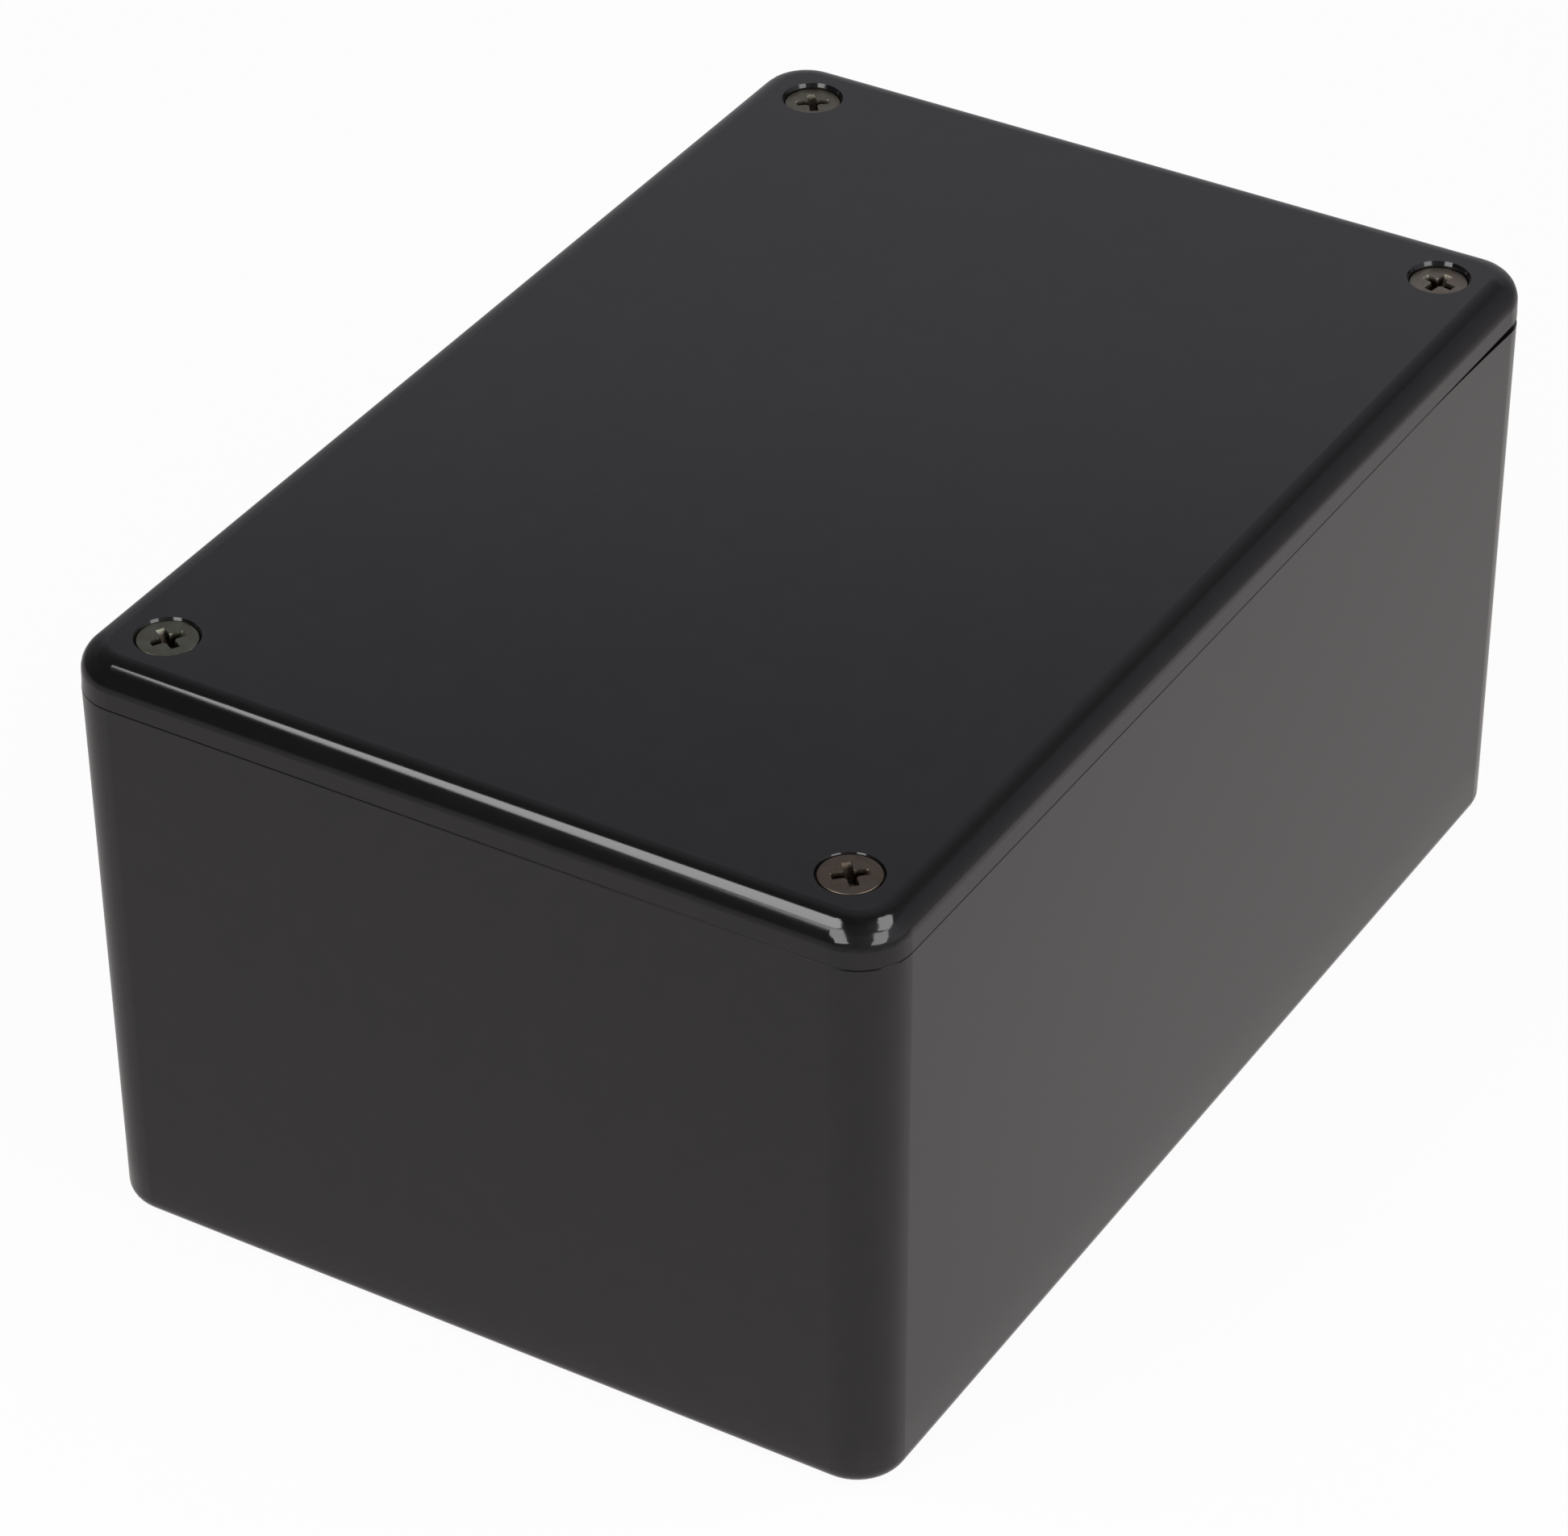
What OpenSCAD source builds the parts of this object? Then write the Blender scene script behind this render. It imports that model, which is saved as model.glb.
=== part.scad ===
// Moulded project box: a deep base and a shallow lid, closed by four countersunk screws.
// Millimetres. The underside lies on z = 0, x runs along the length, and the front is at -y.

/* [Overall] */
// Length of the closed box
box_l = 120; // [100:1:160]
// Width of the closed box
box_w = 80; // [66:1:110]
// Height of the closed box
box_h = 59; // [40:1:90]
// Radius of the upright corners
corner_r = 5; // [4:0.25:8]

/* [Base] */
// Thickness of the side walls
wall = 2.5; // [2.2:0.1:3]
// Thickness of the floor
floor_t = 2.5; // [1.5:0.1:4]
// How far each outer wall leans in, from the rim down to the underside
wall_lean = 0.35; // [0:0.05:0.8]
// Radius of the edge round the underside
foot_r = 1.6; // [0.5:0.1:2.5]
// Bevel between the floor and the walls inside
floor_bevel = 0.8; // [0.4:0.1:1.4]
// How far the rim dips below the seam at the front right corner
corner_dip = 0.8; // [0.1:0.05:0.9]
// How far along each side from that corner the rim dips
dip_reach = 24; // [14:1:40]

/* [Lid] */
// Height of the lid's side, from the seam up
lid_h = 4.1; // [3.6:0.1:8]
// Radius of the lid's top edge
lid_edge_r = 2.5; // [0.5:0.1:3]
// How far the lid's sides lean in, from the seam up to the lid's top
lid_lean = 0.12; // [0:0.02:0.3]
// Depth of the hollow under the lid, above the seam
lid_hollow = 1.6; // [0.8:0.1:1.8]
// How far the lid's sides stand in from the base's rim
lid_inset = 0.02; // [0:0.01:0.3]

/* [Seam] */
// Width of the ledge inside the base's rim that takes the lid's tongue
lap_w = 1.2; // [0.9:0.1:1.5]
// Depth of that ledge below the rim
lap_h = 2; // [1:0.1:3]
// Gap between the tongue and the ledge's wall
lap_gap = 0.15; // [0.05:0.05:0.3]
// Gap under the tongue
lap_under = 0.3; // [0.1:0.1:0.6]
// Bevel on the two outer edges that meet at the seam
seam_bevel = 0.03; // [0.01:0.01:0.2]

/* [Corner pillars] */
// Distance from each side of the box to the screws' axes
screw_inset = 6.8; // [6.5:0.1:9]
// Radius of each pillar
pillar_r = 4.2; // [3.6:0.1:5]
// Gap between a pillar and the cut in the tongue
pillar_gap = 0.4; // [0.2:0.1:1]
// Depth of the hole that clears the screw's tip, below its insert
tip_room = 4; // [3:0.5:10]

/* [Threaded inserts] */
// Outer radius of an insert
insert_r = 2.3; // [2.1:0.1:2.6]
// Length of an insert
insert_l = 6; // [4:0.5:10]
// Bevel at an insert's mouth
insert_bevel = 0.3; // [0.1:0.05:0.5]
// Gap round an insert in its pillar
insert_gap = 0.02; // [0.01:0.01:0.05]

/* [Screws] */
// Outer radius of the thread
thread_r = 1.5; // [1.25:0.05:1.6]
// Length of a screw, head and all
screw_l = 12; // [10:1:12]
// Radius of a screw's head
head_r = 2.7; // [2.4:0.05:2.75]
// Height of the upright edge round the head
head_edge = 0.25; // [0.1:0.05:0.5]
// Bevel on the head's top edge
head_bevel = 0.1; // [0.02:0.02:0.2]
// Bevel at the tip
tip_bevel = 0.4; // [0.1:0.1:0.8]
// Gap between the thread and its insert
thread_gap = 0.05; // [0.02:0.01:0.1]
// Radius of the hole through the lid below the seat
lid_hole_r = 1.75; // [1.7:0.05:2]
// Gap between the head's cone and its seat
seat_gap = 0.05; // [0.02:0.01:0.1]
// Radius of the mouth of the well round the head
well_r = 2.92; // [2.85:0.01:3.2]
// Depth over which the well's mouth narrows to the seat
well_mouth = 0.35; // [0.1:0.05:0.6]
// Depth of the front left head below the lid's top
sink_front_left = 0.05; // [0:0.05:0.7]
// Depth of the front right head below the lid's top
sink_front_right = 0.55; // [0:0.05:0.7]
// Depth of the back left head below the lid's top
sink_back_left = 0.2; // [0:0.05:0.7]
// Depth of the back right head below the lid's top
sink_back_right = 0.5; // [0:0.05:0.7]
// Angle at which the front left recess came to rest
turn_front_left = 46; // [-45:1:90]
// Angle at which the front right recess came to rest
turn_front_right = -10; // [-45:1:90]
// Angle at which the back left recess came to rest
turn_back_left = -18; // [-45:1:90]
// Angle at which the back right recess came to rest
turn_back_right = 36; // [-45:1:90]

/* [Cross recess] */
// Width of the cross at the head's face
cross_w = 3; // [2.4:0.1:3.4]
// Width of the cross at its floor
cross_floor_w = 1.5; // [0.8:0.1:2]
// Depth of the cross
cross_d = 1.3; // [0.8:0.1:1.5]
// Thickness of the cross's arms
arm_t = 0.8; // [0.5:0.05:0.9]
// Radius of the cone where the arms meet, at the head's face
cross_cone_r = 0.7; // [0.6:0.05:1.1]
// Radius of that cone at the cross's floor
cross_cone_floor_r = 0.4; // [0.3:0.05:0.6]
// Depth of the point below the cross's floor
cross_point = 0.25; // [0.1:0.05:0.3]

/* [Board guides] */
// Distance from one guide to the next
guide_pitch = 5.08; // [4:0.02:12]
// Width of the slot between two guides
slot_w = 1.9; // [1.2:0.1:2.6]
// How far the guides stand off the wall
guide_d = 1.5; // [0.8:0.1:2.2]
// Distance from the rim down to the top of the guides
guide_drop = 6; // [5:0.5:20]
// Least distance from a guide to a corner pillar
guide_clear = 0.8; // [0.5:0.1:10]

/* [Stand-offs] */
// Height of the stand-offs above the floor
standoff_h = 5; // [2:0.5:12]
// Radius of a stand-off's top
standoff_r = 3; // [2.4:0.1:4]
// Radius of the pilot hole in a stand-off
pilot_r = 1.25; // [0.8:0.05:1.6]
// Distance along the length from the screws' axes in to the stand-offs
standoff_in_l = 10.7; // [9:0.1:25]
// Distance along the width from the screws' axes in to the stand-offs
standoff_in_w = 5.7; // [4:0.1:12]

/* [Hidden] */
$fn = 64;

// Overlap that lets a cut run clear of a face
past = 1;
// How far before the dip in the rim the crest of its curve lies
dip_lead = 2;

base_h = box_h - lid_h;
lap_inset = wall - lap_w;
lap_floor = base_h - lap_h;
tongue_h = lap_h - lap_under;
cone_h = head_r - thread_r;
pillar_bore_z = base_h - insert_l;

// The four corners, as the signs of x and y
FRONT_LEFT = [-1, -1];
FRONT_RIGHT = [1, -1];
BACK_LEFT = [-1, 1];
BACK_RIGHT = [1, 1];
CORNERS = [FRONT_LEFT, FRONT_RIGHT, BACK_LEFT, BACK_RIGHT];

screw_x = box_l / 2 - screw_inset;
screw_y = box_w / 2 - screw_inset;

// How far the walls stand in at height z, because of their lean
function lean_at(z) = wall_lean * (1 - z / base_h);

// Depth of the head below the lid's top at a corner
function sink_at(corner) =
    corner == FRONT_LEFT ? sink_front_left :
    corner == FRONT_RIGHT ? sink_front_right :
    corner == BACK_LEFT ? sink_back_left : sink_back_right;

// Angle of the recess at a corner
function turn_at(corner) =
    corner == FRONT_LEFT ? turn_front_left :
    corner == FRONT_RIGHT ? turn_front_right :
    corner == BACK_LEFT ? turn_back_left : turn_back_right;

// Middles of the guides on a wall whose pillars leave it this much free length each side of centre
function guide_places(free) =
    let (n = floor((free - guide_clear - (guide_pitch - slot_w) / 2) / guide_pitch))
    [for (i = [-n : n]) i * guide_pitch];

// ---- Shared forms

// A block of l by w with upright round corners. Its side has the section given as a child, drawn
// from the corner's axis at x = 0 out to the corner's radius r.
module rounded_block(l, w, r) {
    axis_x = l / 2 - r;
    axis_y = w / 2 - r;
    for (turn = [0 : 90 : 270]) {
        swap = turn % 180 == 90;
        along = swap ? axis_y : axis_x;
        across = swap ? axis_x : axis_y;
        rotate(turn) {
            translate([along, across, 0]) rotate_extrude(angle = 90) children();
            translate([along, across, 0]) rotate([90, 0, 0]) linear_extrude(2 * across) children();
        }
    }
}

// The middle of such a block, between its corners' axes
module block_core(l, w, r, z0, z1) {
    translate([r - l / 2, r - w / 2, z0]) cube([l - 2 * r, w - 2 * r, z1 - z0]);
}

// A whole block with upright sides, inset from the box's outline by this much, from z0 to z1
module upright_block(inset, z0, z1) {
    l = box_l - 2 * inset;
    w = box_w - 2 * inset;
    r = corner_r - inset;
    rounded_block(l, w, r) translate([0, z0]) square([r, z1 - z0]);
    block_core(l, w, r, z0, z1);
}

// Section of a side that leans out by lean over its height h, rounded by edge_r at its foot
module leaning_section(r, h, lean, edge_r) {
    slope = atan(lean / h);
    edge_x = r - lean + edge_r * tan(slope) - edge_r / cos(slope);
    polygon([[0, 0], [edge_x, 0],
             [edge_x + edge_r * cos(slope), edge_r - edge_r * sin(slope)], [r, h], [0, h]]);
    translate([edge_x, 0]) intersection() {
        translate([0, edge_r]) circle(edge_r);
        square(edge_r);
    }
}

// What the bevel takes off an outer edge at the seam, for a side that rises from z = 0 at x = 0
module seam_edge() {
    polygon([[-seam_bevel, 0], [0, seam_bevel], [past, seam_bevel], [past, -past],
             [-seam_bevel, -past]]);
}

// Puts its children, drawn for the back right corner, at another one
module at_corner(corner) {
    mirror([corner.x < 0 ? 1 : 0, 0, 0])
        mirror([0, corner.y < 0 ? 1 : 0, 0])
            translate([screw_x, screw_y, 0]) children();
}

// Plan of a corner pillar: round towards the middle, and square shoulders out into both walls
module pillar_plan(grow = 0) {
    r = pillar_r + grow;
    reach = screw_inset + past;
    circle(r);
    translate([0, -r]) square([reach, r + reach]);
    translate([-r, 0]) square([r + reach, reach]);
}

// ---- Base

module base_outer_section() {
    difference() {
        leaning_section(corner_r, base_h, wall_lean, foot_r);
        translate([corner_r, base_h]) mirror([0, 1]) seam_edge();
    }
}

module base_outside() {
    rounded_block(box_l, box_w, corner_r) base_outer_section();
    block_core(box_l, box_w, corner_r, 0, base_h);
}

module base_hollow() {
    l = box_l - 2 * wall;
    w = box_w - 2 * wall;
    r = corner_r - wall;
    foot_x = r - lean_at(floor_t);
    bevel = min(floor_bevel, foot_x * 0.9);
    rounded_block(l, w, r)
        polygon([[0, floor_t], [foot_x - bevel, floor_t],
                 [r - lean_at(floor_t + bevel), floor_t + bevel], [r, base_h], [0, base_h]]);
    block_core(l, w, r, floor_t, base_h);
    upright_block(lap_inset, lap_floor, base_h + past);
}

module pillars() {
    for (corner = CORNERS) at_corner(corner) linear_extrude(base_h) pillar_plan();
}

// One guide on the wall at +y: a bar that follows the wall's lean, with a sloping top
module board_guide(half_w) {
    guide_w = guide_pitch - slot_w;
    top = base_h - guide_drop;
    outside = half_w + past;
    face = half_w - wall - guide_d;
    translate([guide_w / 2, 0, 0]) rotate([90, 0, -90]) linear_extrude(guide_w)
        polygon([[-outside, floor_t - past], [-(face - lean_at(floor_t - past)), floor_t - past],
                 [-(face - lean_at(top)), top], [-outside, top + outside - face]]);
}

module board_guides() {
    for (side = [0, 180]) {
        for (x = guide_places(screw_x - pillar_r))
            rotate(side) translate([x, 0, 0]) board_guide(box_w / 2);
        for (y = guide_places(screw_y - pillar_r))
            rotate(side + 90) translate([y, 0, 0]) board_guide(box_l / 2);
    }
}

// Moves its children in from a screw's axis to the stand-off beside it
module at_standoff(corner) {
    at_corner(corner) translate([-standoff_in_l, -standoff_in_w, floor_t]) children();
}

module standoffs() {
    for (corner = CORNERS)
        at_standoff(corner) translate([0, 0, -past]) cylinder(r = standoff_r, h = past + standoff_h);
}

// The air over the rim where it dips, outside the ledge that takes the tongue. The rim bends down
// along a wide cylinder that lies across the corner.
module dipped_corner() {
    depth = dip_reach * sin(45) - corner_r * (1 / sin(45) - 1);
    dip_r = (depth * depth + 2 * depth * dip_lead) / (2 * corner_dip);
    axis_z = -sqrt(dip_r * dip_r - dip_lead * dip_lead);
    difference() {
        translate([box_l / 2 - dip_reach, -box_w / 2, base_h]) rotate(45) difference() {
            translate([-dip_reach, -dip_reach, -past])
                cube([3 * dip_reach, dip_reach, 2 * past]);
            translate([0, dip_lead, axis_z]) rotate([0, 90, 0])
                cylinder(r = dip_r, h = 6 * dip_reach, center = true, $fn = 720);
        }
        upright_block(lap_inset, 0, box_h);
    }
}

module box_base() {
    color("#262628") difference() {
        base_outside();
        difference() {
            base_hollow();
            pillars();
            board_guides();
            standoffs();
        }
        for (corner = CORNERS) {
            at_corner(corner) translate([0, 0, pillar_bore_z])
                cylinder(r = insert_r + insert_gap, h = insert_l + past);
            at_corner(corner) translate([0, 0, pillar_bore_z - tip_room])
                cylinder(r = thread_r + insert_bevel, h = tip_room);
            at_standoff(corner) cylinder(r = pilot_r, h = standoff_h + past);
        }
        dipped_corner();
    }
}

// ---- Lid

module lid_outer_section() {
    r = corner_r - lid_inset;
    difference() {
        translate([0, lid_h]) mirror([0, 1]) leaning_section(r, lid_h, lid_lean, lid_edge_r);
        translate([r, 0]) seam_edge();
    }
}

module lid_outside() {
    l = box_l - 2 * lid_inset;
    w = box_w - 2 * lid_inset;
    r = corner_r - lid_inset;
    rounded_block(l, w, r) lid_outer_section();
    block_core(l, w, r, 0, lid_h);
}

// The screw's way through the lid, seen from the lid's top at z = 0
module screw_way(sink) {
    seat_r = head_r + seat_gap;
    seat_z = -(sink + head_edge);
    mouth_z = max(seat_z, -well_mouth);
    slope = (well_r - seat_r) / well_mouth;
    translate([0, 0, seat_z]) cylinder(r = seat_r, h = past - seat_z);
    translate([0, 0, mouth_z])
        cylinder(r1 = well_r + mouth_z * slope, r2 = well_r + past * slope, h = past - mouth_z);
    translate([0, 0, seat_z - (seat_r - lid_hole_r)])
        cylinder(r1 = lid_hole_r, r2 = seat_r, h = seat_r - lid_hole_r);
    translate([0, 0, -lid_h - past]) cylinder(r = lid_hole_r, h = lid_h + past + seat_z);
}

module lid() {
    color("#26272a") translate([0, 0, base_h]) difference() {
        union() {
            lid_outside();
            upright_block(lap_inset + lap_gap, -tongue_h, 0);
        }
        difference() {
            upright_block(wall, -tongue_h - past, lid_hollow);
            for (corner = CORNERS) at_corner(corner) linear_extrude(lid_h) pillar_plan();
        }
        for (corner = CORNERS) {
            at_corner(corner) translate([0, 0, -tongue_h - past])
                linear_extrude(tongue_h + past) pillar_plan(pillar_gap);
            at_corner(corner) translate([0, 0, lid_h]) screw_way(sink_at(corner));
        }
    }
}

// ---- Screws and inserts

// One arm pair of the cross, cut down from z = 0
module cross_arms() {
    rotate([90, 0, 0]) translate([0, 0, -arm_t / 2]) linear_extrude(arm_t)
        polygon([[-cross_w / 2, past], [-cross_w / 2, 0], [-cross_floor_w / 2, -cross_d],
                 [cross_floor_w / 2, -cross_d], [cross_w / 2, 0], [cross_w / 2, past]]);
}

module cross_recess() {
    cross_arms();
    rotate(90) cross_arms();
    rotate_extrude()
        polygon([[0, -cross_d - cross_point], [cross_cone_floor_r, -cross_d],
                 [cross_cone_r, 0], [cross_cone_r, past], [0, past]]);
}

// A countersunk screw with its face at z = 0 and its tip down
module screw_form() {
    difference() {
        rotate_extrude()
            polygon([[0, 0], [head_r - head_bevel, 0], [head_r, -head_bevel], [head_r, -head_edge],
                     [thread_r, -head_edge - cone_h], [thread_r, tip_bevel - screw_l],
                     [thread_r - tip_bevel, -screw_l], [0, -screw_l]]);
        cross_recess();
    }
}

module screw(corner) {
    color("#5a5651") translate([corner.x * screw_x, corner.y * screw_y, box_h - sink_at(corner)])
        rotate(turn_at(corner)) screw_form();
}

module insert(corner) {
    bore_r = thread_r + thread_gap;
    color("#b08d3e") translate([corner.x * screw_x, corner.y * screw_y, base_h]) difference() {
        translate([0, 0, -insert_l]) cylinder(r = insert_r, h = insert_l);
        translate([0, 0, -insert_l - past]) cylinder(r = bore_r, h = insert_l + 2 * past);
        translate([0, 0, -insert_bevel])
            cylinder(r1 = bore_r, r2 = bore_r + insert_bevel + past, h = insert_bevel + past);
    }
}

box_base();
lid();
screw(FRONT_LEFT);  // screw_front_left
screw(FRONT_RIGHT);  // screw_front_right
screw(BACK_LEFT);  // screw_back_left
screw(BACK_RIGHT);  // screw_back_right
insert(FRONT_LEFT);  // insert_front_left
insert(FRONT_RIGHT);  // insert_front_right
insert(BACK_LEFT);  // insert_back_left
insert(BACK_RIGHT);  // insert_back_right
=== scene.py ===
# %% [markdown]
# # A moulded project box with four countersunk screws
#
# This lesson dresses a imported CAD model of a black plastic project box: a deep base, a shallow
# lid, four worn steel screws and four brass inserts. The CAD model gives every size and place.
# Blender adds what CAD leaves out: threads and knurls, worn edges, the sheen of the plastic and
# the light of a small studio.

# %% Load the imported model
import math

import bpy
import numpy as np
from mathutils import Matrix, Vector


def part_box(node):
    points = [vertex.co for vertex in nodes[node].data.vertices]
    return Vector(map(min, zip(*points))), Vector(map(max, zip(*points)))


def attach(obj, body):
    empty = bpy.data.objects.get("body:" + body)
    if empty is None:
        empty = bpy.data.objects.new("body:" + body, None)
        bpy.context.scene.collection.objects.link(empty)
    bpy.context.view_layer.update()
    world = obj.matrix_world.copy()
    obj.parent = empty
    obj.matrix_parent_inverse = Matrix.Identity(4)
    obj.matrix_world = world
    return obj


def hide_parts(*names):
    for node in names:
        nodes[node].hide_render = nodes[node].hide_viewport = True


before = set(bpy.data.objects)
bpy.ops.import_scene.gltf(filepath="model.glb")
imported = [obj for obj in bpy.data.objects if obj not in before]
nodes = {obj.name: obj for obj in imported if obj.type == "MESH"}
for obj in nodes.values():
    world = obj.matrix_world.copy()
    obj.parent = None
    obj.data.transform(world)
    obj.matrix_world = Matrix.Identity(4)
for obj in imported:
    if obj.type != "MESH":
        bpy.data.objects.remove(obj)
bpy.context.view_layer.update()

MM = 0.001
print("CAD nodes:", ", ".join(sorted(nodes)))

# %% [markdown]
# ## The camera
#
# A product picture is often taken from a metre or less with a long lens, so that upright edges
# stay nearly parallel. The camera is placed by three axes: where its right side, its top and its
# back point in the world. A matrix made of those three columns turns it exactly.

# %% Camera
CAMERA_AT = (-0.390676, -0.230192, 0.346562)
CAMERA_AXES = (
    (0.518331, 0.517105, -0.681127),
    (-0.855113, 0.303413, -0.420384),
    (-0.010720, 0.800339, 0.599452),
)
# Width of the sensor and focal length in millimetres, and the shift that frames the box
SENSOR = 36
LENS = 140.273
SHIFT = (0.03455, 0.100467)


def placed(rows, at):
    """The matrix whose left three columns are these rows' columns and whose last is this place."""
    return Matrix([(*row, part) for row, part in zip(rows, at)] + [(0, 0, 0, 1)])


camera_data = bpy.data.cameras.new("camera")
camera_data.sensor_width = SENSOR
camera_data.lens = LENS
camera_data.shift_x, camera_data.shift_y = SHIFT
camera_data.clip_start = 0.01
camera = bpy.data.objects.new("camera", camera_data)
bpy.context.scene.collection.objects.link(camera)
camera.matrix_world = placed(CAMERA_AXES, CAMERA_AT)
bpy.context.scene.camera = camera
print("Camera lens", LENS, "mm, standing at", CAMERA_AT)

# %% [markdown]
# ## A short way to write shader maths
#
# Every finish below is a formula of the place on the object. Written with raw nodes such a
# formula takes a page, so one small class wraps a node's socket and adds a Math node for each
# operator. An expression like `1 - mask * 0.5` then builds its nodes by itself. A second class
# holds one material's tree and makes any other node from its type, settings and inputs.

# %% Shader helpers
class Term:
    """A number that a node gives. Its operators each add one Math node."""

    def __init__(self, tree, socket):
        self.tree, self.socket = tree, socket

    def _math(self, operation, *values):
        return self.tree.node("ShaderNodeMath", {"operation": operation}, dict(enumerate(values)))

    def __add__(self, other):
        return self._math("ADD", self, other)

    def __sub__(self, other):
        return self._math("SUBTRACT", self, other)

    def __rsub__(self, other):
        return self._math("SUBTRACT", other, self)

    def __mul__(self, other):
        return self._math("MULTIPLY", self, other)

    def __truediv__(self, other):
        return self._math("DIVIDE", self, other)

    def __pow__(self, other):
        return self._math("POWER", self, other)

    def __neg__(self):
        return self._math("MULTIPLY", self, -1)

    def __lt__(self, other):
        return self._math("LESS_THAN", self, other)

    __radd__ = __add__
    __rmul__ = __mul__

    def max(self, other):
        return self._math("MAXIMUM", self, other)

    def abs(self):
        return self._math("ABSOLUTE", self)

    def azimuth(self, north):
        """The azimuth in turns of the direction with this east part: 0.5 is the front, -y."""
        return self._math("ARCTAN2", self, -north) / (2 * math.pi) + 0.5

    def step(self, start, end):
        """0 at start, 1 at end, and an even S between them. Start may be the greater."""
        flip = start > end
        low, high = (end, start) if flip else (start, end)
        inputs = {"Value": self, "From Min": low, "From Max": high}
        rise = self.tree.node("ShaderNodeMapRange", {"interpolation_type": "SMOOTHSTEP"}, inputs)
        return 1 - rise if flip else rise


class Tree:
    """One material's or world's nodes."""

    def __init__(self, node_tree):
        self.nodes, self.links = node_tree.nodes, node_tree.links
        self.nodes.clear()
        self._place = None

    def node(self, kind, settings=None, inputs=None, output=0):
        """Makes a node, applies its settings, then sets or links its sockets by name or number."""
        made = self.nodes.new(kind)
        for key, value in (settings or {}).items():
            if key == "stops":
                self._set_stops(made.color_ramp, value)
            else:
                setattr(made, key, value)
        for key, value in (inputs or {}).items():
            if isinstance(value, Term):
                self.links.new(value.socket, made.inputs[key])
            else:
                made.inputs[key].default_value = value
        return Term(self, made.outputs[output])

    @staticmethod
    def _set_stops(ramp, stops):
        while len(ramp.elements) < len(stops):
            ramp.elements.new(1)
        for element, (at, colour) in zip(ramp.elements, stops):
            element.position, element.color = at, (*colour, 1)

    def place(self):
        """The place on the object in millimetres, as a vector."""
        if self._place is None:
            at = self.node("ShaderNodeTexCoord", output="Object")
            scale = {"operation": "SCALE"}
            self._place = self.node("ShaderNodeVectorMath", scale, {0: at, "Scale": 1 / MM})
        return self._place

    def xyz(self, vector=None):
        """The three parts of a vector, or of the place on the object in millimetres."""
        split = self.node("ShaderNodeSeparateXYZ", inputs={0: vector or self.place()})
        return [Term(self, output) for output in split.socket.node.outputs]

    def noise(self, scale, detail=2.0, roughness=0.5):
        """Noise about 0.5, with this many waves to a millimetre."""
        inputs = {
            "Vector": self.place(),
            "Scale": scale,
            "Detail": detail,
            "Roughness": roughness,
        }
        return self.node("ShaderNodeTexNoise", inputs=inputs)

    def ramp(self, value, levels):
        """A brightness that runs straight between (value, level) pairs; values are 0 to 1."""
        stops = [(at, (level, level, level)) for at, level in levels]
        return self.node("ShaderNodeValToRGB", {"stops": stops}, {0: value})

    def mix(self, factor, first, second):
        """Colour first where the factor is 0, and second where it is 1."""
        settings = {"data_type": "RGBA"}
        colours = [c if isinstance(c, Term) else (*c, 1) for c in (first, second)]
        return self.node(
            "ShaderNodeMix", settings, {0: factor, 6: colours[0], 7: colours[1]}, output=2
        )

    def bump(self, height, distance):
        """A normal from a height of 0 to 1, where 1 stands for this distance in metres."""
        inputs = {"Height": height, "Distance": distance}
        return self.node("ShaderNodeBump", inputs=inputs)


def finish(name, build):
    """Makes a material whose Principled shader takes the inputs that build(tree) returns."""
    material = bpy.data.materials.new(name)
    material.use_nodes = True
    tree = Tree(material.node_tree)
    shader = tree.node("ShaderNodeBsdfPrincipled", inputs=build(tree))
    out = tree.nodes.new("ShaderNodeOutputMaterial")
    tree.links.new(shader.socket, out.inputs["Surface"])
    print("Finish", name, "has", len(tree.nodes), "nodes")
    return material


# %% [markdown]
# ## Black moulded plastic
#
# The base and lid are moulded in black ABS. It looks nearly black from straight on, but its
# skin is smooth, so most of what is seen on it is a soft reflection of the room.
# The colour is therefore very dark, and the work goes into the roughness and the small bumps.

# %% Plastic
BLACK_ABS = (0.0046, 0.0044, 0.0045)
FADED_ABS = (0.0058, 0.0053, 0.0053)
ABS_IOR = 1.54


# A band of painted shade follows the line where the lid meets the base: its height, reach, full core,
# strength and colour
SEAM_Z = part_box("box_base")[1][2] / MM
SEAM_REACH = 0.14
SEAM_CORE = 0.02
SEAM_SHADE_STRENGTH = 0.7
SEAM_SHADE = (0.010, 0.009, 0.009)


def abs_finish(least_rough):
    """A plastic whose roughness drifts up from this value in broad clouds and fine grain.

    Where the lid meets the base, shade is painted in as a dark line: the plastic turns
    into a dark metal there, because a metal's sheen takes the darkness of its colour."""

    def build(tree):
        off_seam = (tree.xyz()[2] - SEAM_Z).abs()
        # Painted shade along the line where the lid meets the base
        painted_seam_shade = off_seam.step(SEAM_REACH, SEAM_CORE) * SEAM_SHADE_STRENGTH
        grain = tree.noise(14.0, 3.0, 0.6)
        cloud = tree.noise(0.06, 3.0)
        fade = tree.noise(0.35, 4.0).step(0.35, 0.75)
        return {
            "Base Color": tree.mix(painted_seam_shade, tree.mix(fade, BLACK_ABS, FADED_ABS), SEAM_SHADE),
            "Metallic": painted_seam_shade,
            "Roughness": least_rough + cloud * 0.04 + grain * 0.02,
            "IOR": ABS_IOR,
            "Normal": tree.bump(grain, 0.0000008),
        }

    return build


base_finish = finish("black_base_plastic", abs_finish(0.14))
lid_finish = finish("black_lid_plastic", abs_finish(0.07))
for name, material in (("box_base", base_finish), ("lid", lid_finish)):
    nodes[name].data.materials[0] = material
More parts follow.
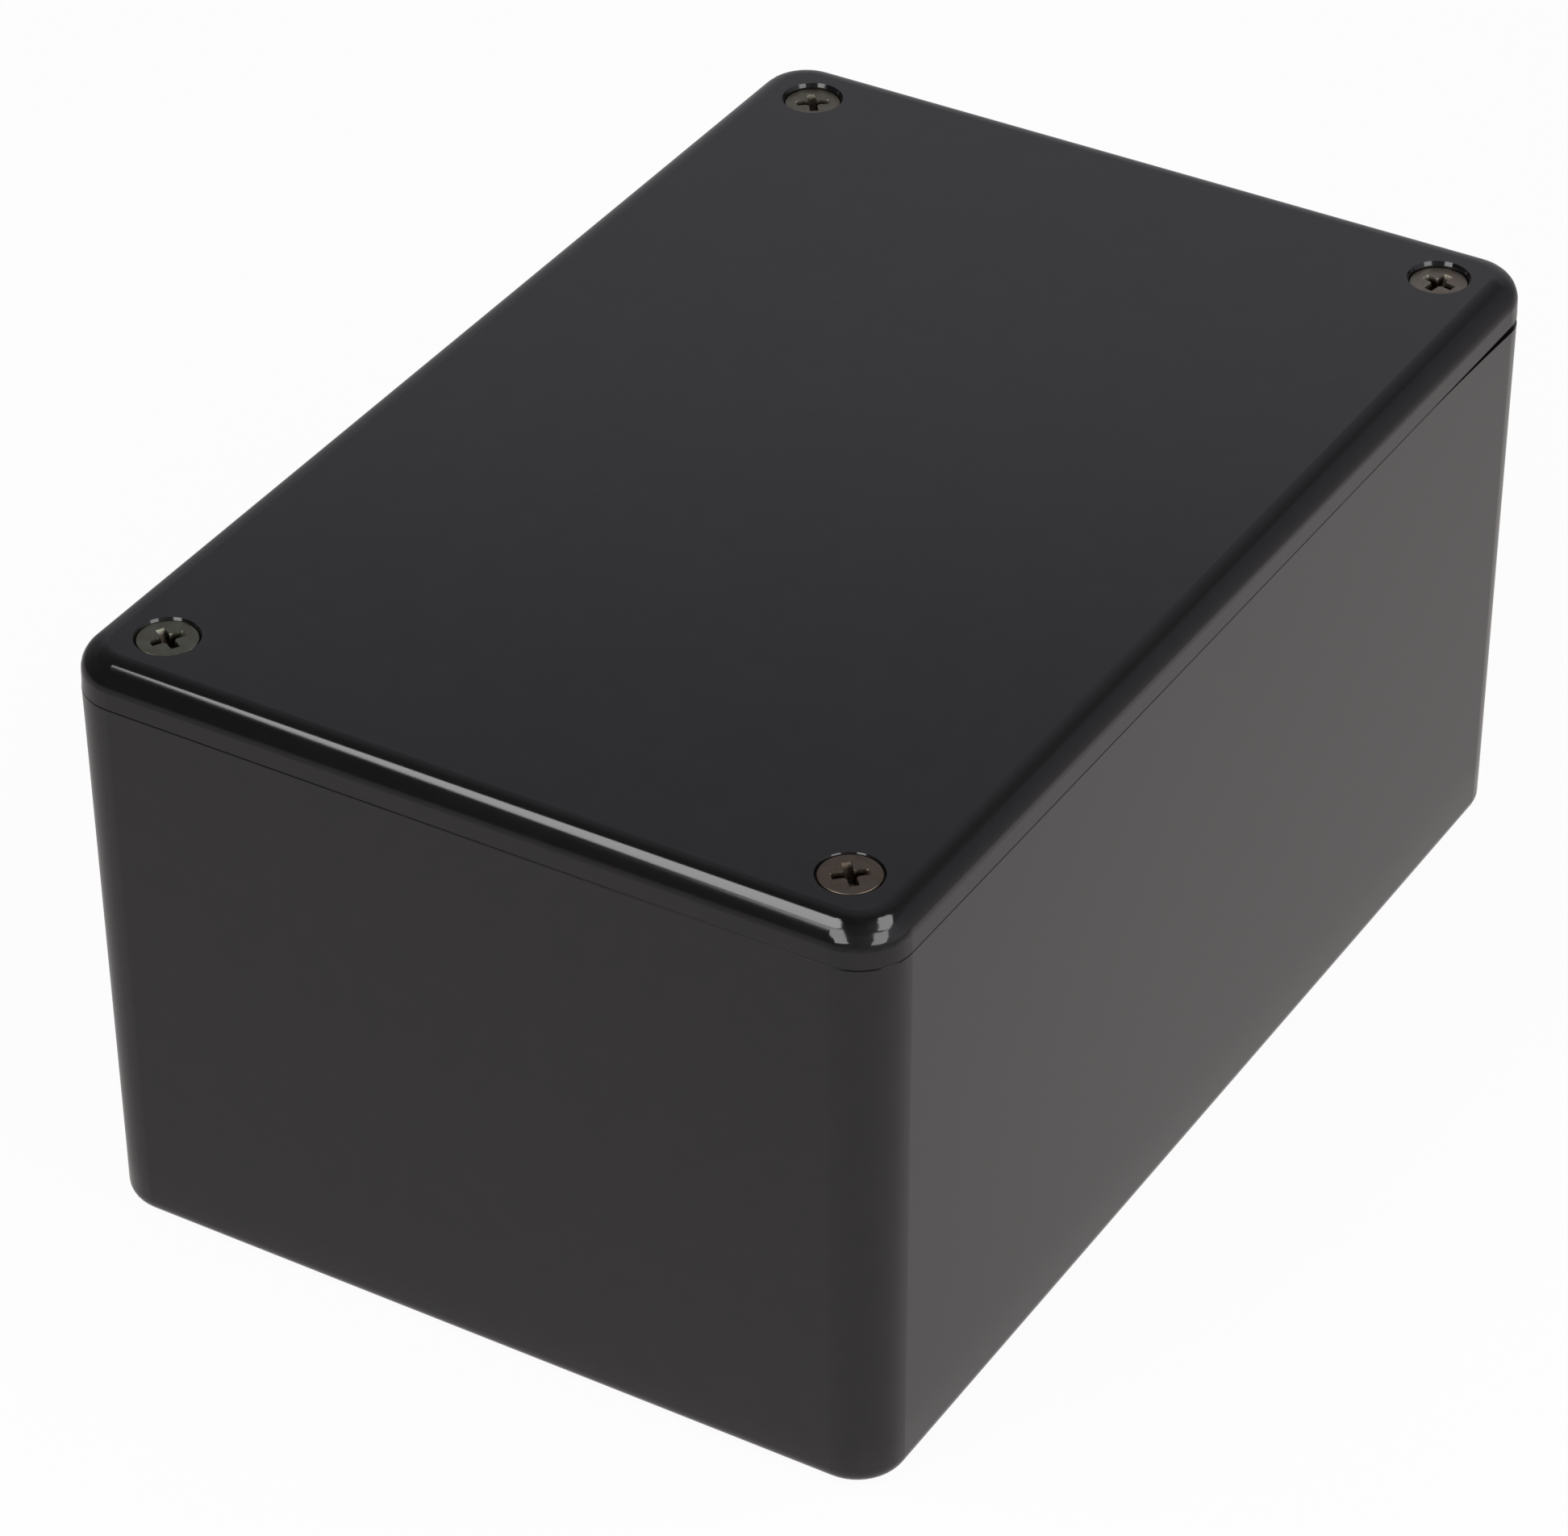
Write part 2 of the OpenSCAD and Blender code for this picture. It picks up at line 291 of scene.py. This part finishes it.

# %% [markdown]
# ## Metal
#
# The screws are steel with a thin dark plating that handling has dulled to a brownish grey. Its
# bare edges shine. The inserts are turned from brass rod.

# %% Metals
# A factor on each screw's colour: its red, green and blue over plain plating's
SCREW_TINTS = {
    "front_left": (0.76, 0.65, 0.59),
    "front_right": (1.42, 1.34, 1.28),
    "back_left": (0.85, 0.92, 0.84),
    "back_right": (1.14, 1.12, 1.03),
}
PLATING_DARK, PLATING_PALE = (0.155, 0.135, 0.112), (0.21, 0.19, 0.165)
PLATING_STAIN = (0.20, 0.195, 0.17)
# The recess lies within this radius and above this depth. Shade is painted on its walls, growing
# between two depths
RECESS_REACH = 1.63
RECESS_FOOT = 1.56
SHADE_FROM, SHADE_TO = 0.04, 0.5
RECESS_SHADE_STRENGTH = 0.95
RECESS_SHADE = (0.030, 0.022, 0.017)


def screw_metal(corner):
    """Dulled plating, with shade painted down the walls of the recess of the screw at this corner."""
    low, high = (np.array(end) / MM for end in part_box(f"screw_{corner}"))
    axis_x, axis_y, face_z = (low[0] + high[0]) / 2, (low[1] + high[1]) / 2, high[2]

    def tinted(colour):
        return tuple(part * tint for part, tint in zip(colour, SCREW_TINTS[corner]))

    def build(tree):
        x, y, z = tree.xyz()
        reach = ((x - axis_x) ** 2 + (y - axis_y) ** 2) ** 0.5
        depth = face_z - z
        in_recess = (reach < RECESS_REACH) * (depth < RECESS_FOOT)
        grain = tree.noise(7.0, 4.0, 0.65)
        stain = tree.noise(0.9, 3.0).step(0.35, 0.7)
        plated = tree.mix(grain.step(0.3, 0.7), tinted(PLATING_DARK), tinted(PLATING_PALE))
        face = tree.mix(stain, plated, tinted(PLATING_STAIN))
        # Painted shade: a dark brown that deepens down the walls of the recess
        painted_recess_shade = depth.step(SHADE_FROM, SHADE_TO) * in_recess * RECESS_SHADE_STRENGTH
        return {
            "Base Color": tree.mix(painted_recess_shade, face, RECESS_SHADE),
            "Metallic": 1.0,
            "Roughness": 0.34 + grain * 0.16,
            "Normal": tree.bump(grain, 0.000008),
        }

    return build


def insert_brass(tree):
    grain = tree.noise(9.0, 4.0, 0.65)
    return {
        "Base Color": tree.mix(grain.step(0.3, 0.7), (0.60, 0.41, 0.15), (0.72, 0.53, 0.23)),
        "Metallic": 1.0,
        "Roughness": 0.25 + grain * 0.2,
    }


screw_finishes = {
    corner: finish(f"worn_steel_{corner}", screw_metal(corner)) for corner in SCREW_TINTS
}
brass_finish = finish("turned_brass", insert_brass)

# %% [markdown]
# ## Surfaces worked out with numpy
#
# A turned part is a grid: one direction goes along its profile, the other round its axis. Each
# function below works out all the points of such a grid at once, and `ring_faces` and
# `pole_faces` join them into a closed mesh with a single point at each pole.

# %% Mesh helpers
def add_piece(name, points, faces, material, body, stands_for, sharp=None):
    """Makes a piece of points in millimetres and faces with any number of corners."""
    data = bpy.data.meshes.new(name)
    data.from_pydata(points * MM, [], faces)
    data.polygons.foreach_set("use_smooth", np.ones(len(data.polygons), dtype=bool))
    if sharp:
        data.set_sharp_from_angle(angle=math.radians(sharp))
    data.materials.append(material)
    data.validate()
    piece = bpy.data.objects.new(name, data)
    bpy.context.scene.collection.objects.link(piece)
    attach(piece, body)
    if stands_for:
        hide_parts(*stands_for)
    print("Made", name, "with", len(points), "points and", len(faces), "faces")
    return piece


def ring_faces(rows, columns, first=0):
    """Quads between successive rings of this many points, each ring closed on itself."""
    row, column = np.meshgrid(np.arange(rows - 1), np.arange(columns), indexing="ij")
    after = (column + 1) % columns
    here = first + row * columns
    quads = np.stack([here + column, here + columns + column, here + columns + after, here + after], -1)
    return quads.reshape(-1, 4).tolist()


def pole_faces(pole, ring, columns, reverse=False):
    """Triangles from one point to a ring that starts at the given index."""
    column = np.arange(columns)
    after = (column + 1) % columns
    order = [np.full(columns, pole), ring + column, ring + after]
    if reverse:
        order = [order[0], order[2], order[1]]
    return np.stack(order, -1).tolist()


# %% [markdown]
# ## The screws
#
# Each screw is one closed surface. It starts at the middle of the head, where a cross recess is
# pressed in, runs out over the head's flat face, round its rim, down the cone and along the
# thread to the tip. The recess is a depth at each point of the face: the arms and the middle
# cone are sloping walls, and the deepest of them counts. Softening where they meet gives
# the rounded lips that a driver leaves.

# %% Screw sizes
TURNS = {"front_left": 42.5, "front_right": -11, "back_left": -30, "back_right": 36}
COLUMNS = 192
HEAD_RINGS = 76
CROSS_TOP, CROSS_FLOOR, CROSS_DEPTH = 1.6, 0.75, 1.3
ARM_HALF = 0.4
ARM_DRAFT = 0.05
CONE_TOP, CONE_FLOOR, CONE_POINT = 0.72, 0.4, 0.25
LIP = 0.035
ARM_ROUNDING, CONE_ROUNDING = 0.05, 0.06
# The head's rim is rounded by this radius, above an upright edge of this height
RIM_ROUND = 0.12
HEAD_EDGE = 0.25
SHANK_R = 1.5
PITCH = 0.5
THREAD_DEPTH = 0.28
# Where the thread starts below the cone, fades in, and stops above the tip
THREAD_GAP, THREAD_FADE, TIP_FLAT = 0.25, 0.9, 0.1
TIP_R, TIP_CREST_R = 1.0, 1.12
TIP_SLOPE = 0.95
THREAD_ROWS_PER_TURN = 6


def soft_max(values, softness):
    """The greatest of several arrays, rounded where two of them cross."""
    peak = np.max(values, axis=0)
    return peak + softness * np.log(sum(np.exp((v - peak) / softness) for v in values))


def soft_min(values, softness):
    return -soft_max([-v for v in values], softness)


def cross_depth(x, y):
    """Depth of the cross recess below the head's face, in millimetres.

    An arm's depth is the least of its end wall, its two side walls and its floor. The recess is
    the deepest of the two arms and the cone, and its lip is rounded off to nothing outside."""

    def arm(along, across):
        end = (CROSS_TOP - np.abs(along)) * CROSS_DEPTH / (CROSS_TOP - CROSS_FLOOR)
        side = (ARM_HALF - np.abs(across)) / ARM_DRAFT
        return soft_min([end, side, np.full_like(along, CROSS_DEPTH)], ARM_ROUNDING)

    reach = np.hypot(x, y)
    cone = (CONE_TOP - reach) * CROSS_DEPTH / (CONE_TOP - CONE_FLOOR)
    cone = np.minimum(cone, CROSS_DEPTH + CONE_POINT * (1 - reach / CONE_FLOOR))
    whole = soft_max([arm(x, y), arm(y, x), cone], CONE_ROUNDING)
    return soft_max([whole, np.zeros_like(whole)], LIP) - LIP * np.log(1 + np.exp(-1 / LIP))


def screw_points(low, high, turn):
    """Rings of points from the head's middle to the tip, for a screw in this box, in millimetres."""
    head_r = (high[0] - low[0]) / 2
    length = high[2] - low[2]
    axis = (low + high) / 2
    angle = np.linspace(0, 2 * np.pi, COLUMNS, endpoint=False)

    # The head's face: rings crowd where the recess is, and the last stops short of the rim
    reach = head_r - RIM_ROUND
    spread = np.linspace(0, 1, HEAD_RINGS + 1)[1:]
    radius = reach * (0.55 * spread + 0.45 * spread**3)
    r, a = np.meshgrid(radius, angle, indexing="ij")
    x, y = r * np.cos(a), r * np.sin(a)
    face = np.stack([x, y, -cross_depth(x, y)], -1)

    # The rim: a quarter turn of rounding, then the upright edge and the cone
    bend = np.radians(np.arange(15, 91, 15))
    rim_r = reach + RIM_ROUND * np.sin(bend)
    rim_z = -RIM_ROUND + RIM_ROUND * np.cos(bend)
    cone_z = -HEAD_EDGE - (head_r - SHANK_R)
    side_r = np.concatenate([rim_r, [head_r, head_r - 0.03, 1.56, 1.44]])
    side_z = np.concatenate([rim_z, [-0.24, -0.28, cone_z + 0.02, cone_z - 0.12]])
    side = np.stack(
        [
            side_r[:, None] * np.cos(angle),
            side_r[:, None] * np.sin(angle),
            np.repeat(side_z[:, None], COLUMNS, 1),
        ],
        -1,
    )

    # The thread: the radius follows a rounded ridge that climbs one pitch in each turn
    start, stop = cone_z - THREAD_GAP, -length + TIP_FLAT
    steps = int((start - stop) / PITCH * THREAD_ROWS_PER_TURN)
    z, a = np.meshgrid(np.linspace(start, stop, steps), angle, indexing="ij")
    phase = (z / PITCH - a / (2 * np.pi)) % 1
    ridge = np.clip(1.35 - np.abs(phase - 0.5) * 2.9, 0, 1)
    fade_in = np.clip((start - z) / THREAD_FADE, 0, 1)
    crest = np.minimum(SHANK_R, TIP_CREST_R + (z + length) * TIP_SLOPE)
    valley = np.minimum(SHANK_R - THREAD_DEPTH * fade_in, crest)
    thread_r = valley + (crest - valley) * ridge
    thread = np.stack([thread_r * np.cos(a), thread_r * np.sin(a), z], -1)

    tip = np.stack([TIP_R * np.cos(angle), TIP_R * np.sin(angle), np.full(COLUMNS, -length)], -1)
    rings = np.concatenate([face, side, thread, tip[None]])
    middle = np.array([[0, 0, -float(cross_depth(np.zeros(1), np.zeros(1))[0])]])
    points = np.concatenate([middle, rings.reshape(-1, 3), [[0, 0, -length]]])
    c, s = math.cos(math.radians(turn)), math.sin(math.radians(turn))
    points[:, :2] = points[:, :2] @ np.array([[c, s], [-s, c]])
    return points + [axis[0], axis[1], high[2]], len(rings)


# %% Screws
for corner, turn in TURNS.items():
    low, high = (np.array(end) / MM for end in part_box(f"screw_{corner}"))
    points, rings = screw_points(low, high, turn)
    last = len(points) - 1
    faces = (
        pole_faces(0, 1, COLUMNS)
        + ring_faces(rings, COLUMNS, 1)
        + pole_faces(last, last - COLUMNS, COLUMNS, reverse=True)
    )
    body = f"screw_{corner}"
    add_piece(
        f"screw_{corner}_worn", points, faces, screw_finishes[corner], body, [body], sharp=50
    )

# %% [markdown]
# ## The brass inserts
#
# An insert is pressed or moulded into each corner pillar. Its outside is knurled so that the
# plastic grips it, and its bore is threaded. Only its top ring shows once the lid is off.

# %% Inserts
KNURLS = 30
KNURL_DEPTH = 0.16
INSERT_COLUMNS = 120
BORE_R, BORE_MOUTH_R = 1.55, 1.85
GROOVE_DEPTH = 0.2
MOUTH_DEPTH = 0.3


def insert_points(low, high):
    """Rings from the top of the bore out, down the knurled side and back up the threaded bore."""
    outer = (high[0] - low[0]) / 2
    length = high[2] - low[2]
    angle = np.linspace(0, 2 * np.pi, INSERT_COLUMNS, endpoint=False)
    knurl = 0.5 + 0.5 * np.cos(angle * KNURLS)

    side_z = np.array([0, -0.12, -2.25, -2.4, -2.6, -3.4, -3.6, -3.75, -length + 0.12, -length])
    depth = np.array([0.06, 0.0, 0.0, 0.3, 0.3, 0.3, 0.3, 0.0, 0.0, 0.06])
    cut = np.array([0, 1, 1, 0, 0, 0, 0, 1, 1, 0])
    side_r = outer - depth[:, None] - KNURL_DEPTH * cut[:, None] * (1 - knurl)
    z = np.repeat(side_z[:, None], INSERT_COLUMNS, 1)
    bore_steps = int(length / PITCH * THREAD_ROWS_PER_TURN)
    bore_z, a = np.meshgrid(np.linspace(-length, -MOUTH_DEPTH, bore_steps), angle, indexing="ij")
    phase = (bore_z / PITCH - a / (2 * np.pi)) % 1
    groove = np.clip(1.2 - np.abs(phase - 0.5) * 2.6, 0, 1)
    bore_r = BORE_R + GROOVE_DEPTH * groove
    bore_r[0] = BORE_R
    bore_r[-1] = BORE_R
    mouth_r = np.full((1, INSERT_COLUMNS), BORE_MOUTH_R)
    mouth_z = np.zeros((1, INSERT_COLUMNS))
    r = np.concatenate([side_r, bore_r, mouth_r])
    zz = np.concatenate([z, bore_z, mouth_z])
    rings = np.stack([r * np.cos(angle), r * np.sin(angle), zz], -1)
    axis = (low + high) / 2
    return rings.reshape(-1, 3) + [axis[0], axis[1], high[2]], len(rings)


for corner in TURNS:
    low, high = (np.array(end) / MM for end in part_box(f"insert_{corner}"))
    points, rings = insert_points(low, high)
    faces = ring_faces(rings, INSERT_COLUMNS)
    first, last = np.arange(INSERT_COLUMNS), (rings - 1) * INSERT_COLUMNS + np.arange(INSERT_COLUMNS)
    close = np.stack([last, first, np.roll(first, -1), np.roll(last, -1)], -1)
    node = f"insert_{corner}"
    add_piece(
        f"{node}_knurled",
        points,
        faces + close.tolist(),
        brass_finish,
        "base",
        [node],
        sharp=50,
    )

# %% [markdown]
# ## Studio light
#
# Two light boxes stand to the left and right of the camera and lean over the table. Each is
# made of a lower and an upper panel, so a narrow dark line crosses its reflection. Between them
# the camera's own side of the room stays dim.

# %% Lamps
LAMP_DISTANCE = 0.8
# Name, azimuth, elevation and roll in degrees, width and length in metres, and brightness,
# where 1 is the brightness of white paper in plain light
LAMPS = (
    ("left_lower", -94.5, 25.8, -21.8, 0.326, 0.66, 4.45),
    ("left_upper", -125.8, 59.0, -53.0, 0.278, 0.438, 6.1),
    ("right_lower", -20.5, 15.9, 15.7, 0.356, 0.602, 3.6),
    ("right_upper", 10.2, 53.6, 48.6, 0.306, 0.604, 4.3),
)


def toward(azimuth, elevation):
    """Unit vector away from the object. Azimuth 0 is the front, -y, and 90 is +x."""
    a, e = math.radians(azimuth), math.radians(elevation)
    return np.array([math.sin(a) * math.cos(e), -math.cos(a) * math.cos(e), math.sin(e)])


for name, azimuth, elevation, roll, width, length, brightness in LAMPS:
    back, right = toward(azimuth, elevation), toward(azimuth + 90, 0)
    turn = math.radians(roll)
    along = math.cos(turn) * np.cross(back, right) + math.sin(turn) * right
    across = np.cross(along, back)
    data = bpy.data.lights.new(name, "AREA")
    data.shape, data.size, data.size_y = "RECTANGLE", width, length
    data.energy = brightness * math.pi * width * length
    lamp = bpy.data.objects.new(name, data)
    lamp.visible_camera = False
    bpy.context.scene.collection.objects.link(lamp)
    lamp.matrix_world = placed(np.stack([across, along, back], 1), back * LAMP_DISTANCE)
    print("Lamp", name, "gives", round(data.energy, 2), "W")

# %% [markdown]
# ## Room and floor
#
# The background is plain white: to the camera, and to anything seen through glass, the floor
# and the room are a white of strength 1. Gloss shows them too, but as they are beside the
# lamps: white paper round the box that fades into a dim room, which is darkest on the left.

# %% Room
# Brightness by azimuth in degrees, low in the room: 0 is the front, -y, and 90 is +x
ROOM_ROUND = (
    (-180, 0.10), (-130, 0.03), (-100, 0.10), (-80, 0.20), (-60, 0.19), (-40, 0.30), (0, 0.60),
    (15, 0.55), (30, 0.40), (50, 0.28), (70, 0.20), (90, 0.33), (110, 0.46), (130, 0.40),
    (150, 0.20), (180, 0.10),
)
# Share of that brightness by height, as the sine of the elevation
ROOM_UP = (
    (0.0, 1.0), (0.53, 1.0), (0.56, 0.75), (0.59, 0.66), (0.66, 0.62), (0.74, 0.53), (0.83, 0.50),
    (0.90, 0.40), (0.945, 0.30), (0.98, 0.17),
)
ROOM_TINT = (0.985, 0.98, 1.07)
PAPER_TINT = (1.02, 0.965, 0.965)


def round_the_room(tree, east, north):
    """How bright the room is by azimuth, seen from the box."""
    stops = [((azimuth + 180) / 360, level) for azimuth, level in ROOM_ROUND]
    return tree.ramp(east.azimuth(north), stops)


def rays(tree):
    """Whether a ray comes from the camera or through glass, and whether from a glossy surface."""
    path = tree.node("ShaderNodeLightPath").socket.node.outputs
    seen = Term(tree, path["Is Camera Ray"]).max(Term(tree, path["Is Transmission Ray"]))
    return seen, Term(tree, path["Is Glossy Ray"])


def output(tree, kind, shader):
    tree.links.new(shader.socket, tree.nodes.new(kind).inputs["Surface"])


world = bpy.data.worlds.new("studio")
bpy.context.scene.world = world
world.use_nodes = True
tree = Tree(world.node_tree)
east, north, height = tree.xyz(tree.node("ShaderNodeTexCoord", output="Generated"))
level = round_the_room(tree, east, north) * tree.ramp(height.max(0.0), ROOM_UP)
room = tree.node("ShaderNodeVectorMath", {"operation": "SCALE"}, {0: ROOM_TINT, "Scale": level})
seen, mirrored = rays(tree)
colour = tree.mix(seen, room, (1.0, 1.0, 1.0))
output(tree, "ShaderNodeOutputWorld", tree.node("ShaderNodeBackground", inputs={"Color": colour}))
print("The room has", len(tree.nodes), "nodes")

# %% Floor
FLOOR_HALF = 4.0
FLOOR_Z = -0.0002
PAPER = (0.72, 0.70, 0.70)
HALF_LENGTH, HALF_WIDTH = 60.0, 40.0
# The paper's brightness near the box, and how much it gains toward its brightest side
PAPER_LEVEL, PAPER_SWING = 0.56, 0.06
PAPER_SIDE = toward(20, 0)
# Distances from the box at which the paper starts to dim, is this dim, and gives way to the room
PAPER_KEPT, PAPER_DIMMED, PAPER_GONE = 70.0, 150.0, 400.0
PAPER_DIM = 0.33
# A brighter line close to the box
GLOW_REACH, GLOW = 4.0, 0.1
# How much of the floor's look to the camera is plain white; the rest is lit and takes the shadow
WHITE_SHARE = 0.95

data = bpy.data.meshes.new("floor")
corners = [(x * FLOOR_HALF, y * FLOOR_HALF, FLOOR_Z) for x, y in ((-1, -1), (1, -1), (1, 1), (-1, 1))]
data.from_pydata(corners, [], [(0, 1, 2, 3)])
floor = bpy.data.objects.new("floor", data)
bpy.context.scene.collection.objects.link(floor)
material = bpy.data.materials.new("white_paper")
material.use_nodes = True
tree = Tree(material.node_tree)
east, north, _ = tree.xyz()
outside = [(part.abs() - half).max(0.0) for part, half in ((east, HALF_LENGTH), (north, HALF_WIDTH))]
reach = (east * east + north * north).max(1.0) ** 0.5
gap = (outside[0] * outside[0] + outside[1] * outside[1]) ** 0.5
paper = PAPER_LEVEL + (east * PAPER_SIDE[0] + north * PAPER_SIDE[1]) / reach * PAPER_SWING
bright = round_the_room(tree, east, north)
bright = bright + (PAPER_DIM - bright) * gap.step(PAPER_GONE, PAPER_DIMMED)
bright = bright + (paper - bright) * gap.step(PAPER_DIMMED, PAPER_KEPT)
bright = bright + gap.step(GLOW_REACH, 0.0) * GLOW
glow = tree.node("ShaderNodeVectorMath", {"operation": "SCALE"}, {0: PAPER_TINT, "Scale": bright})
gloss = tree.node("ShaderNodeEmission", inputs={"Color": glow})
white = tree.node("ShaderNodeEmission", inputs={"Color": (1, 1, 1, 1)})
lit = tree.node("ShaderNodeBsdfDiffuse", inputs={"Color": (*PAPER, 1)})
seen, mirrored = rays(tree)
shader = tree.node("ShaderNodeMixShader", inputs={0: seen * WHITE_SHARE, 1: lit, 2: white})
shader = tree.node("ShaderNodeMixShader", inputs={0: mirrored, 1: shader, 2: gloss})
output(tree, "ShaderNodeOutputMaterial", shader)
data.materials.append(material)

print("The floor lies at", FLOOR_Z, "m")

# %% [markdown]
# ## Look and close
#
# The Standard view transform shows each colour as it was written.

# %% Look
bpy.context.scene.view_settings.view_transform = "Standard"
print("View transform:", bpy.context.scene.view_settings.view_transform)
